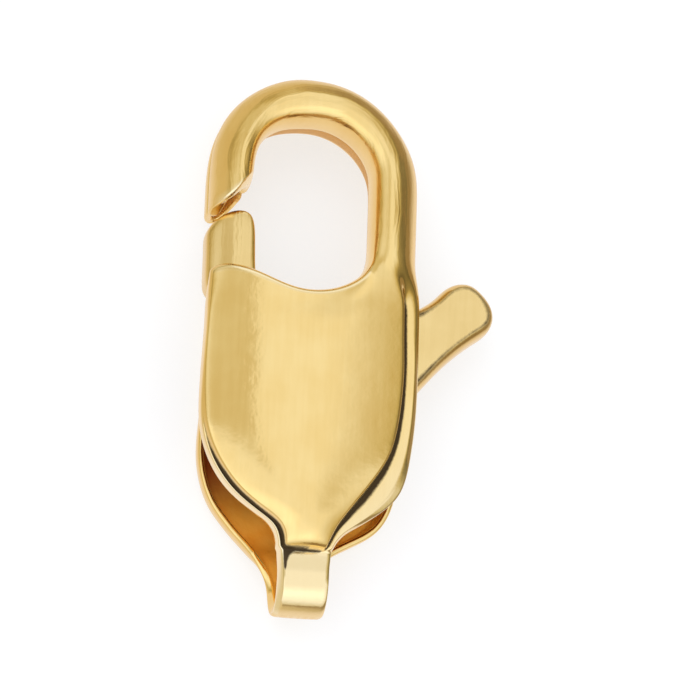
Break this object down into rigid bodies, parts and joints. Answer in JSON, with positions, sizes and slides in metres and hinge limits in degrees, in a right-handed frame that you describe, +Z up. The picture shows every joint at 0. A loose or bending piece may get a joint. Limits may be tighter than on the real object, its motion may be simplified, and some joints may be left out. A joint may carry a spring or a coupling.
{
  "type": "lobster clasp",
  "caption": "Gold-coloured lobster clasp of folded sheet with a domed body, hollow hook, sprung trigger lever and end loop.",
  "frame": {"origin": "middle of the clasp's box, on the surface it lies on", "axes": "+Y along the clasp to the hook's arch, +X to the trigger, +Z up out of the domed front"},
  "size_m": [0.0064, 0.012, 0.0026],
  "materials": {
    "polished_gold": "polished gold plate with fine handling marks",
    "lever_gold": "polished gold plate with fine handling marks",
    "pin_brass": "satin"
  },
  "bodies": {
    "body": {"body": "polished_gold", "pivot_pin": "pin_brass"},
    "lever": {"lever": "lever_gold"}
  },
  "joints": [
    {"name": "lever_pivot", "type": "hinge", "parent": "body", "child": "lever", "pos_m": [-0.00025, -0.0002, 0.00114], "axis": [0, 0, -1], "range_deg": [0, 25], "stiffness_Nm_per_rad": 0.003}
  ]
}
